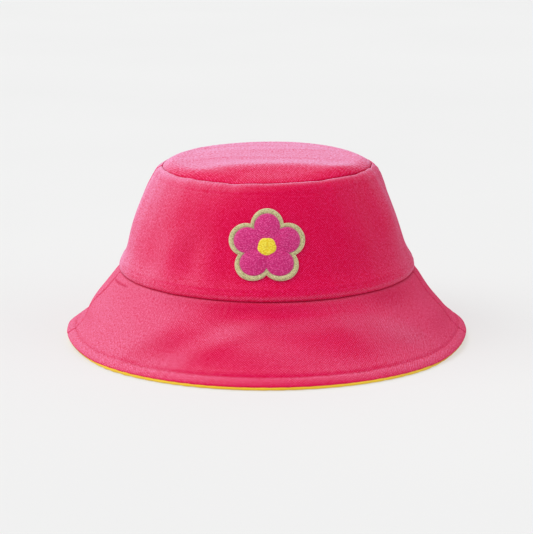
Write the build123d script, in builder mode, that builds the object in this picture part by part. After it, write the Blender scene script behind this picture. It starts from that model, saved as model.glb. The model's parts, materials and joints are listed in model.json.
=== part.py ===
from build123d import *
import os
from math import atan2, cos, hypot, radians, sin, sqrt

# Child's lined bucket hat. Millimetres, +Z up, front of the hat towards -Y.
# Origin: centre of the plane that the brim edge rests on.
# Most pieces are sections, drawn as (radius, height) and turned about Z.
# Angles are in degrees about Z, from +X: 90 is the back, 270 the front.

# ---- driving dimensions -----------------------------------------------------
brim_radius = 118.0        # outer radius of the brim edge
seam_radius = 86.6         # outer radius at the head seam, where crown and brim join
seam_height = 40.8         # height of the head seam above the rest plane
tip_seam_radius = 61.0     # radius of the seam between side band and tip
tip_seam_height = 102.3    # height of that seam
tip_rise = 5.0             # how far the tip is puffed above its seam

ply_gap = 0.1              # air between two plies
outer_ply = 1.3            # outer fabric, crown
allowance_ply = 0.7        # seam allowance pressed flat between outer and lining
lining_ply = 0.8           # lining fabric
sweat_ply = 0.9            # folded sweatband tape
brim_outer_ply = 1.2
interlining_ply = 0.6
underbrim_ply = 0.8

allowance = 8.0            # seam allowance at the head seam
tip_allowance = 7.0        # seam allowance at the tip seam
side_gap = 0.1             # half of the gap between front and back panels, degrees
brim_seam_angle = 9.0      # the brim's side seams lie this far forward of the band's, degrees

binding_width = 4.4        # rolled edge binding, flat section
binding_height = 1.8
binding_corner = 0.7
brim_foot = binding_height + 0.15   # lower end of the brim plies, just above the binding
crown_foot = seam_height + 0.1      # lower end of lining and sweatband
sweat_height = 30.0                 # height of the sweatband above the head seam

# ---- profiles, as (radius, height) -----------------------------------------
# Outer face of the side band, from the head seam up to the tip seam.
WALL = [
    (86.5, 41.0), (86.7, 42.2), (86.2, 45.0), (83.6, 50.0), (79.6, 60.0),
    (76.4, 70.0), (73.0, 80.0), (69.0, 90.0), (66.7, 95.6), (65.1, 99.2),
    (63.4, 101.5), (tip_seam_radius + 0.3, tip_seam_height + 0.1),
]
# Outer face of the brim, from the head seam down to the binding.
BRIM = [
    (seam_radius - 0.1, seam_height), (94.2, 30.0), (102.4, 20.0),
    (110.6, 10.0), (118.2, 0.5), (118.6, 0.0),
]
# Upper face of the tip, as (radius, share of tip_rise), from the centre outwards.
tip_edge_radius = tip_seam_radius - 0.35
TIP_PUFF = [
    (0.0, 1.0), (15.0, 0.98), (28.0, 0.9), (40.0, 0.71), (50.0, 0.45), (56.5, 0.2),
    (tip_edge_radius, 0.0),
]

# ---- panels, as (start angle, arc) -------------------------------------------
BAND_PANELS = {
    "front": (180 + side_gap, 180 - 2 * side_gap),
    "back": (side_gap, 180 - 2 * side_gap),
}
BRIM_PANELS = {
    "front": (180 + brim_seam_angle + side_gap, 180 - 2 * (brim_seam_angle + side_gap)),
    "back": (-brim_seam_angle + side_gap, 180 + 2 * (brim_seam_angle - side_gap)),
}

# ---- depths of the inner plies ------------------------------------------------
# Inside the outer face of the crown.
allowance_depth = outer_ply + ply_gap
lining_depth = allowance_depth + allowance_ply + ply_gap
sweat_depth = lining_depth + lining_ply + ply_gap
crown_thickness = sweat_depth + sweat_ply
# Inside the outer face of the brim.
interlining_depth = brim_outer_ply + ply_gap
underbrim_depth = interlining_depth + interlining_ply + ply_gap
brim_thickness = underbrim_depth + underbrim_ply


# ---- working with profiles ----------------------------------------------------
def shifted(points, depth):
    """The line through points moved inwards by depth, at right angles to itself."""
    moved = []
    for i, (x, z) in enumerate(points):
        before = points[max(i - 1, 0)]
        after = points[min(i + 1, len(points) - 1)]
        dx, dz = after[0] - before[0], after[1] - before[1]
        length = hypot(dx, dz)
        side = 1.0 if dz > 0 else -1.0
        moved.append((x - side * depth * dz / length, z + side * depth * dx / length))
    return moved


def cut_z(points, low, high):
    """The part of a rising or falling line between two heights."""
    rising = points[-1][1] > points[0][1]
    upward = points if rising else points[::-1]

    def at(height):
        for (x0, z0), (x1, z1) in zip(upward, upward[1:]):
            if z0 <= height <= z1:
                return (x0 + (x1 - x0) * (height - z0) / (z1 - z0), height)
        return upward[0] if height < upward[0][1] else upward[-1]

    line = [at(low)]
    between = [point for point in upward if low + 0.05 < point[1] < high - 0.05]
    for point in between + [at(high)]:
        # Leave out points that all but coincide with the one before.
        if hypot(point[0] - line[-1][0], point[1] - line[-1][1]) > 0.02:
            line.append(point)
    return line if rising else line[::-1]


def ply(points, near, far, low=None, high=None):
    """Closed section between two depths inside a profile; negative depths lie outside."""
    near_line, far_line = shifted(points, near), shifted(points, far)
    if low is not None:
        near_line, far_line = cut_z(near_line, low, high), cut_z(far_line, low, high)
    return near_line + far_line[::-1]


def point_on(points, along):
    """Point a given length along a profile, and the outward normal there."""
    for (x0, z0), (x1, z1) in zip(points, points[1:]):
        length = hypot(x1 - x0, z1 - z0)
        if along <= length:
            side = 1.0 if z1 > z0 else -1.0
            share = along / length
            point = (x0 + (x1 - x0) * share, z0 + (z1 - z0) * share)
            return point, (side * (z1 - z0) / length, -side * (x1 - x0) / length)
        along -= length
    raise ValueError("past the end")


def beside(points, along, distance):
    """Point at a distance outwards from the place a given length along a profile."""
    (x, z), (normal_x, normal_z) = point_on(points, along)
    return (x + distance * normal_x, z + distance * normal_z)


def radial(angle):
    """Plane through the Z axis whose x direction points at this angle."""
    a = radians(angle)
    return Plane(origin=(0, 0, 0), x_dir=(cos(a), sin(a), 0), z_dir=(sin(a), -cos(a), 0))


# ---- making and saving pieces ---------------------------------------------------
os.makedirs("parts", exist_ok=True)


def save(name, builder):
    builder.part.label = name
    export_step(builder.part, f"parts/{name}.step")


def turn(name, section, starts=(0,), arc=360):
    """Turn a section about Z through arc, once from each start angle."""
    with BuildPart() as piece:
        for start in starts:
            with BuildSketch(radial(start)):
                with BuildLine():
                    Polyline(*section, close=True)
                make_face()
            revolve(axis=Axis.Z, revolution_arc=arc)
    save(name, piece)


def turn_panels(name, section, panels):
    """Turn the front and back panels of one section."""
    for side, (start, arc) in panels.items():
        turn(f"{name}_{side}", section, [start], arc)


# ---- outer tip: a puffed disc whose edge turns down inside the side band ------
tip_top = [(x, tip_seam_height + share * tip_rise) for x, share in TIP_PUFF]
tip_under = [(x, z - outer_ply) for x, z in tip_top[:-1]]
turn_top = tip_seam_height - outer_ply - 0.3    # height where the edge turns down
turn_low = turn_top - tip_allowance
turn_outer = cut_z(shifted(WALL, allowance_depth), turn_low, turn_top - 0.6)
turn_inner = cut_z(
    shifted(WALL, allowance_depth + allowance_ply), turn_low - 0.3, turn_top - 1.2
)
turn(
    "outer_tip",
    tip_top
    + [(tip_edge_radius, turn_top - 0.1)]
    + turn_outer[::-1]
    + turn_inner
    + [(tip_seam_radius - 1.4, turn_top - 0.5)]
    + tip_under[::-1],
)

# ---- outer side band ----------------------------------------------------------
turn_panels("outer_band", ply(WALL, 0, outer_ply), BAND_PANELS)

# ---- outer brim: a flared ring whose top edge turns up inside the band --------
# How far below the head seam the plies end; for the outer ply, its inner face.
brim_inner_drop = 0.75
interlining_drop = 1.6
underbrim_drop = 2.0

brim_outer = cut_z(BRIM, brim_foot, seam_height)
brim_inner = cut_z(shifted(BRIM, brim_outer_ply), brim_foot, seam_height - brim_inner_drop)
flange_top = seam_height + allowance
flange_outer = cut_z(shifted(WALL, allowance_depth), seam_height + 1.6, flange_top)
flange_inner = cut_z(
    shifted(WALL, allowance_depth + allowance_ply), seam_height + 0.6, flange_top
)
flange_root_x, flange_root_z = flange_outer[0]
neck_x = flange_root_x - 0.2
outer_brim_section = (
    brim_outer
    + brim_inner[::-1]
    + flange_inner
    + flange_outer[::-1]
    + [(neck_x, flange_root_z), (neck_x, seam_height)]
)
turn_panels("outer_brim", outer_brim_section, BRIM_PANELS)

# ---- brim interlining, the stiffener between the two faces --------------------
interlining_section = ply(
    BRIM, interlining_depth, interlining_depth + interlining_ply,
    brim_foot, seam_height - interlining_drop,
)
turn_panels("brim_interlining", interlining_section, BRIM_PANELS)

# ---- underbrim, the lower face of the brim ------------------------------------
underbrim_section = ply(
    BRIM, underbrim_depth, brim_thickness, brim_foot, seam_height - underbrim_drop
)
turn_panels("underbrim", underbrim_section, BRIM_PANELS)

# ---- crown lining ---------------------------------------------------------------
lining_joint = (58.6, 99.0)    # where lining band and lining tip meet
lining_tip_gap = 1.2           # between outer tip and lining tip
joint_x, joint_z = lining_joint[0] + 0.2, lining_joint[1]

lining_outer = cut_z(shifted(WALL, lining_depth), crown_foot, 94.0)
lining_inner = cut_z(shifted(WALL, lining_depth + lining_ply), crown_foot, 93.6)
lining_band_section = (
    lining_outer + [(joint_x, joint_z), (joint_x, joint_z - 1.0)] + lining_inner[::-1]
)
turn_panels("lining_band", lining_band_section, BAND_PANELS)

lining_top = [(x, z - lining_tip_gap) for x, z in tip_under[:-1]] + [lining_joint]
lining_under = [(x, z - lining_ply) for x, z in lining_top]
turn("lining_tip", lining_top + lining_under[::-1])

# ---- sweatband, a folded tape inside the head opening ---------------------------
turn("sweatband", ply(WALL, sweat_depth, crown_thickness, crown_foot, seam_height + sweat_height))

# ---- rolled edge binding: the hat rests on its flat lower face ------------------
with BuildPart() as binding:
    with BuildSketch(Plane.XZ):
        with Locations((brim_radius - binding_width / 2, binding_height / 2)):
            RectangleRounded(binding_width, binding_height, binding_corner)
    revolve(axis=Axis.Z)
save("brim_edge_binding", binding)

# ---- thread rings ---------------------------------------------------------------
thread_radius = 0.28
stand_off = thread_radius + 0.08    # thread centre to fabric face
brim_stitch_margin = 7.8            # along the brim from its lower edge
band_stitch_margin = 4.5            # along the band from the head seam
sweat_stitch_margin = 1.2           # back from the sweatband height, along the band


def thread_ring(name, centre):
    with BuildPart() as ring:
        with BuildSketch(Plane.XZ):
            with Locations(centre):
                Circle(thread_radius)
        revolve(axis=Axis.Z)
    save(name, ring)


brim_upward = BRIM[::-1]
thread_ring("brim_edge_topstitch", beside(brim_upward, brim_stitch_margin, stand_off))
thread_ring(
    "underbrim_topstitch",
    beside(brim_upward, brim_stitch_margin, -brim_thickness - stand_off),
)
thread_ring("band_lower_topstitch", beside(WALL, band_stitch_margin, stand_off))
# Just inside and below the lower edge of the sweatband.
thread_ring("head_seam_stitches", (seam_radius - 4.6, seam_height - 1.2))
# Between the turned-down edge of the tip and the lining.
thread_ring("tip_seam_stitches", (tip_seam_radius - 0.6, turn_top - 1.5))
thread_ring(
    "sweatband_topstitch",
    beside(WALL, sweat_height - sweat_stitch_margin, -crown_thickness - stand_off),
)

# ---- side seam threads: one line on each side of the hat -------------------------
# On the outer face of the brim, on the front panel beside each seam.
brim_thread_arc = 0.3
brim_thread_offset = 0.5    # from the seam to the near end on -X, the far end on +X
turn(
    "brim_side_seam_stitches",
    ply(BRIM, -0.08, -0.5, 8.5, 39.5),
    starts=[
        180 + brim_seam_angle + brim_thread_offset,
        360 - brim_seam_angle - brim_thread_offset - brim_thread_arc,
    ],
    arc=brim_thread_arc,
)
# Inside the band, between outer fabric and lining.
turn(
    "band_side_seam_stitches",
    ply(WALL, allowance_depth + 0.1, allowance_depth + 0.5, 51.0, 90.0),
    starts=[180.0, 359.6],
    arc=0.35,
)

# ---- flower patch, curved to the front of the band -------------------------------
patch_z = 69.7             # height of the patch centre
patch_tip = 21.6           # patch outline: petal tip and notch radii
patch_notch = 15.8
petal_tip = 18.6           # embroidered petals
petal_notch = 12.0
centre_radius = 5.0        # flower centre
border_width = 2.7         # overlocked border
adhesive_inset = 0.8       # adhesive and base stop short of the patch outline
base_inset = 0.5
petal_count = 5
petal_pitch = 360 / petal_count
embroidery_base = 0.96     # distance from the band to the back of the embroidery
shell_low, shell_high = 44.0, 96.5    # heights of the shell each layer is cut from
shell_arc = 50
cut_reach = 12             # how far the outline cuts to either side of the patch plane

(patch_x, _), (patch_normal_x, patch_normal_z) = point_on(cut_z(WALL, patch_z, 95.0), 0.0)
patch_plane = Plane(
    origin=(0, -patch_x, patch_z), x_dir=(1, 0, 0), z_dir=(0, -patch_normal_x, patch_normal_z)
)


def flower_point(radius, petals):
    """Point on the patch plane, a number of petals round from the top one."""
    a = radians(90 + petal_pitch * petals)
    return (radius * cos(a), radius * sin(a))


def patch_layer(name, near, far, flowers=(), circles=()):
    """Shell between two distances outside the band, cut to an outline.

    flowers holds (tip radius, notch radius, mode), circles holds (radius, mode).
    """
    with BuildPart() as layer:
        with BuildSketch(radial(270 - shell_arc / 2)):
            with BuildLine():
                Polyline(*ply(WALL, -near, -far, shell_low, shell_high), close=True)
            make_face()
        revolve(axis=Axis.Z, revolution_arc=shell_arc)
        with BuildSketch(patch_plane):
            for tip, notch, mode in flowers:
                with BuildLine():
                    for k in range(petal_count):
                        ThreePointArc(
                            flower_point(notch, k - 0.5),
                            flower_point(tip, k),
                            flower_point(notch, k + 0.5),
                        )
                make_face(mode=mode)
            for radius, mode in circles:
                Circle(radius, mode=mode)
        extrude(amount=cut_reach, both=True, mode=Mode.INTERSECT)
    save(name, layer)


patch_layer(
    "patch_adhesive", 0.08, 0.2,
    flowers=[(patch_tip - adhesive_inset, patch_notch - adhesive_inset, Mode.ADD)],
)
patch_layer(
    "patch_base", 0.26, 0.9,
    flowers=[(patch_tip - base_inset, patch_notch - base_inset, Mode.ADD)],
)
patch_layer(
    "patch_border", embroidery_base, 2.1,
    flowers=[
        (patch_tip, patch_notch, Mode.ADD),
        (patch_tip - border_width, patch_notch - border_width - 0.6, Mode.SUBTRACT),
    ],
)
patch_layer(
    "patch_petals", embroidery_base, 2.0,
    flowers=[(petal_tip, petal_notch, Mode.ADD)],
    circles=[(centre_radius + 0.1, Mode.SUBTRACT)],
)
patch_layer("patch_centre", embroidery_base, 2.6, circles=[(centre_radius, Mode.ADD)])

# ---- blank care label, two plies thick, hanging inside the back ------------------
label_width = 20.0
label_drop = 17.0
label_ply = 0.3
label_top = 65.5
label_clearance = 0.75     # label plane to the sweatband, at the label's top corners

inner_face = cut_z(shifted(WALL, crown_thickness), label_top - label_drop, label_top)
(low_x, low_z), (high_x, high_z) = inner_face[0], inner_face[-1]
lean = atan2(low_x - high_x, high_z - low_z)
# The flat label spans a curved wall, so its ends come nearest the wall.
sag = high_x - sqrt(high_x**2 - (label_width / 2) ** 2)
label_plane = Plane(
    origin=(0, high_x - sag - label_clearance, label_top),
    x_dir=(0, cos(lean), sin(lean)),
    z_dir=(1, 0, 0),
)
with BuildPart() as label:
    with BuildSketch(label_plane):
        with Locations((0, -label_drop / 2)):
            RectangleRounded(2 * label_ply + 0.1, label_drop, 0.3)
    extrude(amount=label_width / 2, both=True)
save("care_label", label)

# A straight thread just above the label's top edge.
with BuildPart() as label_thread:
    with BuildSketch(label_plane):
        with Locations((0, thread_radius + 0.45)):
            Circle(thread_radius)
    extrude(amount=label_width / 2 - 1, both=True)
save("label_stitches", label_thread)
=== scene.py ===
# A soft cloth bucket hat: pink outside, yellow inside, with a flower patch on the front of its crown.
# It stands on its brim at z = 0, centred on the Z axis. The front faces -Y and +X is to the right.
# Shapes are built in millimetres and angles run round Z from +X, so the front lies at 270 degrees.
# Profiles are (radius, z) lines swept round Z, then bent together by one smooth sag.
import json
import math

import bmesh
import bpy
import numpy as np
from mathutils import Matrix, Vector


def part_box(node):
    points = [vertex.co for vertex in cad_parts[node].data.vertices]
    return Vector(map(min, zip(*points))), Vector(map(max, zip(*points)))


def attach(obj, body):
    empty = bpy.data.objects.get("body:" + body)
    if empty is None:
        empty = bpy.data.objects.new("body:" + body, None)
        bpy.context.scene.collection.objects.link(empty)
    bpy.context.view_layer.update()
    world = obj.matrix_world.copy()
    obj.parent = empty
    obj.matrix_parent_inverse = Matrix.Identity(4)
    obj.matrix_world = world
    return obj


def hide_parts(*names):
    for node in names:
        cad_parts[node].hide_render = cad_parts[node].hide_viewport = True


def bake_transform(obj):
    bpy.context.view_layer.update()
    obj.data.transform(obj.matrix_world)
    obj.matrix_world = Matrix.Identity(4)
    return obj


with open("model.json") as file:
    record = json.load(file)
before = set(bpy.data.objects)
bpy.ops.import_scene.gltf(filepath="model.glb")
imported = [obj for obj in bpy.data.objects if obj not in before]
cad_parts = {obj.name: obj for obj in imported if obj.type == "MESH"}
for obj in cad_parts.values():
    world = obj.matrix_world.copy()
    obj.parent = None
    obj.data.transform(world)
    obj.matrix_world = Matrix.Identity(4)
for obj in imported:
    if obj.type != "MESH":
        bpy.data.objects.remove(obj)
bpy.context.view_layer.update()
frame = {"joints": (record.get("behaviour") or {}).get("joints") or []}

MM = 0.001
PI = math.pi


# ---------------------------------------------------------------- sizes
def box_mm(node):
    low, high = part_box(node)
    return np.array(low) * 1000, np.array(high) * 1000


def joint(name):
    return next(j for j in frame["joints"] if j["name"] == name)


BRIM_RADIUS = box_mm("brim_edge_binding")[1][0]
BINDING_TOP = box_mm("brim_edge_binding")[1][2]
BAND_LOW, BAND_HIGH = box_mm("outer_band_front")
HEAD_Z = BAND_LOW[2] - 0.2           # seam between brim and band
HEAD_RADIUS = BAND_HIGH[0] - 0.1
TIP_Z = BAND_HIGH[2] - 0.1           # seam between band and crown tip
TIP_TOP = box_mm("outer_tip")[1][2]
TIP_RADIUS = 61.0

SIDE_SEAM = math.radians(9.0)        # the brim's side seams lie this far forward of the sides
BRIM_GAP, BAND_GAP = 0.0006, 0.0008  # half gap between two panels, radians
BRIM_ARCS = {
    "front": (PI + SIDE_SEAM + BRIM_GAP, 2 * PI - SIDE_SEAM - BRIM_GAP),
    "back": (-SIDE_SEAM + BRIM_GAP, PI + SIDE_SEAM - BRIM_GAP),
}
BAND_ARCS = {"front": (PI + BAND_GAP, 2 * PI - BAND_GAP), "back": (BAND_GAP, PI - BAND_GAP)}
HEM = 7.8                            # brim topstitching to the brim edge
BRIM_THICK, CLOTH_THICK, LINING_THICK = 1.2, 1.25, 0.8
SWEATBAND_HEIGHT = 30.0
SWEATBAND_HEM = 1.6
DIP_WIDTH = 0.9                      # how far from a side seam the cloth turns in
MERGE = 2e-6                         # welds the coincident points at a disc's centre, metres

# Profiles, columns (radius, z). The inner plies follow the two plain ones.
INNER_WALL = [
    (HEAD_RADIUS - 0.1, HEAD_Z + 0.2), (HEAD_RADIUS + 0.1, 42.2), (86.2, 45.0), (83.6, 50.0),
    (79.6, 60.0), (76.4, 70.0), (73.0, 80.0), (69.0, 90.0), (66.7, 95.6), (65.1, 99.2),
    (63.4, 101.5), (TIP_RADIUS + 0.3, TIP_Z + 0.1),
]
INNER_BRIM = [
    (HEAD_RADIUS - 0.1, HEAD_Z), (94.2, 30.0), (102.4, 20.0), (110.6, 10.0), (118.2, 0.5),
    (118.6, 0.0),
]
# outer face of the band: lower edge folded in, top rolled over into the tip seam
OUTER_WALL = [
    (HEAD_RADIUS - 0.75, HEAD_Z - 0.35), (HEAD_RADIUS - 0.05, HEAD_Z + 0.05),
    (HEAD_RADIUS + 0.25, HEAD_Z + 0.9), (HEAD_RADIUS + 0.25, HEAD_Z + 2.2),
    (86.0, 45.6), (83.6, 50.0), (79.6, 60.0), (76.4, 70.0), (73.0, 80.0), (69.1, 90.0),
    (67.1, 94.3), (65.5, 97.6), (63.9, 100.0), (62.4, 101.45), (61.5, 101.7), (61.0, 100.9),
    (60.95, 99.4),
]
# outer face of the brim: its top edge turns up behind the band
OUTER_BRIM = [
    (HEAD_RADIUS - 1.55, HEAD_Z + 2.4), (HEAD_RADIUS - 1.5, HEAD_Z + 0.9),
    (HEAD_RADIUS - 1.1, HEAD_Z), (HEAD_RADIUS - 0.1, HEAD_Z - 0.75), (88.6, 37.9),
    (94.2, 30.0), (102.4, 20.0), (110.6, 10.0), (118.2, 0.6), (118.7, 0.0),
]
TIP_RISE = TIP_TOP - TIP_Z
TIP_PROFILE = [
    (0.02, TIP_TOP), (15.0, TIP_Z + 0.98 * TIP_RISE), (28.0, TIP_Z + 0.90 * TIP_RISE),
    (40.0, TIP_Z + 0.72 * TIP_RISE), (50.0, TIP_Z + 0.45 * TIP_RISE),
    (55.5, TIP_Z + 0.25 * TIP_RISE), (59.1, TIP_Z + 0.02 * TIP_RISE),
    (TIP_RADIUS - 0.5, TIP_Z - 0.75), (TIP_RADIUS - 0.12, TIP_Z - 2.4),
]
LINING_TOP = box_mm("lining_tip")[1][2]
LINING_TIP_PROFILE = [
    (0.02, LINING_TOP), (15.0, LINING_TOP - 0.1), (28.0, LINING_TOP - 0.5),
    (40.0, LINING_TOP - 1.5), (50.0, LINING_TOP - 2.9), (58.6, 99.0),
]


# ---------------------------------------------------------------- curves
def spline(points, step=0.4):
    """Points of a natural cubic spline through the given points."""
    points = np.array(points, float)
    gaps = np.linalg.norm(np.diff(points, axis=0), axis=1)
    knots = np.r_[0, np.cumsum(gaps)]
    count = len(points)
    matrix = np.zeros((count, count))
    matrix[0, 0] = matrix[-1, -1] = 1
    target = np.zeros((count, 2))
    for i in range(1, count - 1):
        before, after = gaps[i - 1], gaps[i]
        matrix[i, i - 1:i + 2] = before, 2 * (before + after), after
        target[i] = 6 * (
            (points[i + 1] - points[i]) / after - (points[i] - points[i - 1]) / before
        )
    bend = np.linalg.solve(matrix, target)
    run = np.linspace(0, knots[-1], max(int(knots[-1] / step), 8) + 1)
    k = np.clip(np.searchsorted(knots, run, side="right") - 1, 0, count - 2)
    gap = gaps[k][:, None]
    left = (knots[k + 1] - run)[:, None] / gap
    right = (run - knots[k])[:, None] / gap
    cubic = (left**3 - left) * bend[k] + (right**3 - right) * bend[k + 1]
    return left * points[k] + right * points[k + 1] + cubic * gap**2 / 6


class Curve:
    """A profile with position and outward normal by run, the length along it."""

    def __init__(self, points):
        self.points = spline(points)
        steps = np.linalg.norm(np.diff(self.points, axis=0), axis=1)
        self.run = np.r_[0, np.cumsum(steps)]
        self.length = self.run[-1]
        tangent = np.gradient(self.points, self.run, axis=0)
        tangent /= np.linalg.norm(tangent, axis=1, keepdims=True)
        self.normal = np.stack([tangent[:, 1], -tangent[:, 0]], 1)
        if self.points[-1, 1] < self.points[0, 1]:
            self.normal = -self.normal

    def at(self, run, offset=0.0):
        """Radius and z at a run, moved outwards by offset, and the normal's two parts."""
        run = np.asarray(run, float)
        r, z, normal_r, normal_z = (
            np.interp(run, self.run, column) for column in (*self.points.T, *self.normal.T)
        )
        size = np.hypot(normal_r, normal_z)
        normal_r, normal_z = normal_r / size, normal_z / size
        return r + offset * normal_r, z + offset * normal_z, normal_r, normal_z

    def run_at_z(self, z, trim=0.0):
        """Run at a height, leaving out a trimmed length at both ends."""
        keep = (self.run >= trim) & (self.run <= self.length - trim)
        heights, runs = self.points[keep, 1], self.run[keep]
        order = np.argsort(heights)
        return float(np.interp(z, heights[order], runs[order]))


wall, inner_wall = Curve(OUTER_WALL), Curve(INNER_WALL)
brim, inner_brim = Curve(OUTER_BRIM), Curve(INNER_BRIM)


# ---------------------------------------------------------------- smooth functions
def waves(seed, count, lowest, highest, slant):
    """A smooth random function of angle and a second coordinate, about unit size."""
    draw = np.random.default_rng(seed)
    turns = draw.integers(lowest, highest + 1, count)
    slants = draw.uniform(-slant, slant, count)
    phases = draw.uniform(0, 2 * PI, count)
    sizes = draw.uniform(0.6, 1.0, count)

    def value(angle, other):
        total = 0.0
        for i in range(count):
            total = total + sizes[i] * np.cos(turns[i] * angle + slants[i] * other + phases[i])
        return total / math.sqrt(count * 0.33)

    return value


# seed, number of waves, least and most waves per turn, greatest slant
brim_waves = waves(5, 6, 3, 7, 2.2)
band_waves = waves(9, 7, 3, 9, 2.0)
pucker_fine = waves(21, 9, 120, 210, 0.25)
pucker_middle = waves(22, 9, 90, 160, 0.25)
pucker_coarse = waves(23, 8, 60, 110, 0.2)
pucker_drift = waves(24, 6, 5, 19, 0.1)
soft_waves = waves(31, 14, 12, 40, 0.35)
stitch_grain = waves(41, 26, 6, 46, 3.2)


def bump(x, centre, width):
    return np.exp(-(((x - centre) / width) ** 2))


def angle_from(angle, degrees):
    """Signed difference in degrees, wrapped."""
    return (np.degrees(angle) - degrees + 180) % 360 - 180


def bump_at(angle, degrees, width, shift=0.0):
    """A bump round an angle; width and shift are in degrees."""
    return bump(angle_from(angle, degrees) + shift, 0, width)


def smooth(x, start, end):
    t = np.clip((x - start) / (end - start), 0, 1)
    return t * t * (3 - 2 * t)


# ---------------------------------------------------------------- the sag of the whole hat
# Bends, columns: height, degrees, slant (degrees over the whole share), pivot share, width
BRIM_BENDS = [
    (0.5, 257, 38, 0.5, 5.0), (-0.55, 246, 38, 0.5, 5.5), (0.8, 233, 30, 0.5, 7.0),
    (0.6, 299, -14, 0.5, 6.0), (-0.4, 306, -34, 0.45, 5.5), (0.5, 318, -34, 0.45, 6.5),
]
LOW_BAND_FOLDS = [(-1.7, 238, 5, 0.3, 4.6), (1.3, 227, 0, 0, 5.5), (0.6, 247, 0, 0, 5.0)]
BAND_FOLDS = [(0.35, 336, -6, 0.5, 6.0), (-0.35, 320, 0, 0, 8.0)]
FLOOR_CLEARANCE = 0.4


def bends(table, angle, share):
    return sum(
        height * bump_at(angle, degrees, width, slant * (share - pivot))
        for height, degrees, slant, pivot, width in table
    )


def sag(points):
    """The soft shape of the hat: one smooth map of space, so that all plies keep their order."""
    x, y, z = points.T.copy()
    r = np.hypot(x, y)
    flat_r = r.copy()
    angle = np.arctan2(y, x)
    sideways = np.abs(np.cos(angle))
    out = np.clip((r - HEAD_RADIUS) / (BRIM_RADIUS - HEAD_RADIUS), 0, 1.05) * smooth(z, 60, 46)
    # the brim is a little higher at its two sides
    lift = 1.7 * smooth(sideways, 0.80, 1.0) * out**1.6 * (1 - smooth(y, 4, 34))
    # long soft waves in the brim, at right angles to its face
    wave = 0.85 * brim_waves(angle, out * PI) + bends(BRIM_BENDS, angle, out)
    wave *= np.sin(PI * np.clip(out, 0, 1)) ** 0.9
    # the brim's outline widens between its axes and draws in at its sides
    flare = 1.15 + (0.85 + 0.35 * np.cos(angle)) * np.sin(2 * angle) ** 2
    r += 0.78 * wave + smooth(out, 0.64, 1.0) * flare
    r -= 1.5 * bump(out, 0.74, 0.17) * smooth(sideways, 0.86, 0.98)
    z += lift + 0.62 * wave
    # soft vertical folds in the band, the deep ones low on its front left
    up = np.clip((z - HEAD_Z) / (TIP_Z - HEAD_Z), 0, 1)
    inside = (z > HEAD_Z - 0.5) * (r < HEAD_RADIUS + 6)
    window = np.sin(PI * up) ** 0.7 * inside * smooth(r, 30, 55)
    low = smooth(up, 0.02, 0.20) * (1 - 0.9 * smooth(up, 0.32, 0.60))
    fold = 0.75 * band_waves(angle, up * PI) * (1 - 0.8 * bump_at(angle, 270, 24))
    fold += bends(LOW_BAND_FOLDS, angle, up) * low + bends(BAND_FOLDS, angle, up)
    r += window * fold
    # the crown leans a little, higher on its right side
    lean = 0.7 * (x / TIP_RADIUS) * smooth(z, 88, 103)
    # a soft crest near the front of the tip, and one pinch in its seam
    on_tip = smooth(z, 97.5, 101.5) * np.clip(1 - (flat_r / 61.5) ** 10, 0, 1)
    crest = 2.3 * bump(y, -37.5, 12.5) * smooth(x, -58, -18)
    pinch = -0.7 * bump_at(angle, 252.5, 5.0) * smooth(z, 96, 101) * smooth(flat_r, 46, 58)
    # the tip swells over its seam at the sides and back
    swell = 1.1 * (1 - bump_at(angle, 270, 48)) * bump(flat_r, 55.0, 6.5)
    swell = swell * np.clip(1 - (flat_r / 61.2) ** 26, 0, 1) * smooth(z, 96.5, 99.5)
    z += lean + on_tip * crest + pinch + swell
    # away from the front the two seam edges come closer to the surface and the roll sinks
    edge_rise = 0.3 + 0.5 * (1 - bump_at(angle, 285, 55))
    z += edge_rise * bump(flat_r, 60.95, 0.6) * smooth(z, 97.0, 99.5)
    roll_drop = 0.75 * (1 - bump_at(angle, 283, 52))
    z -= roll_drop * smooth(z, 98.5, 101) * smooth(flat_r, 58.5, 61.8)
    # the top draws in at its back right
    back_right = smooth(y, -4, 22) * smooth(x, 12, 48)
    r -= 2.6 * back_right * smooth(z, 94, 101) * smooth(flat_r, 30, 60)
    # nothing goes below the floor, and the layers near it keep their order
    over = z - FLOOR_CLEARANCE
    pressed = FLOOR_CLEARANCE * np.exp(np.minimum(over, 0.0) / FLOOR_CLEARANCE)
    z = np.where(z > FLOOR_CLEARANCE, z, pressed)
    side = 0.35 * smooth(z, 55, 80)
    return np.stack([r * np.cos(angle) + side, r * np.sin(angle), z], 1)


# ---------------------------------------------------------------- mesh making
CORNERS = np.array([(0, 0), (1, 0), (1, 1), (0, 1)])


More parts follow.
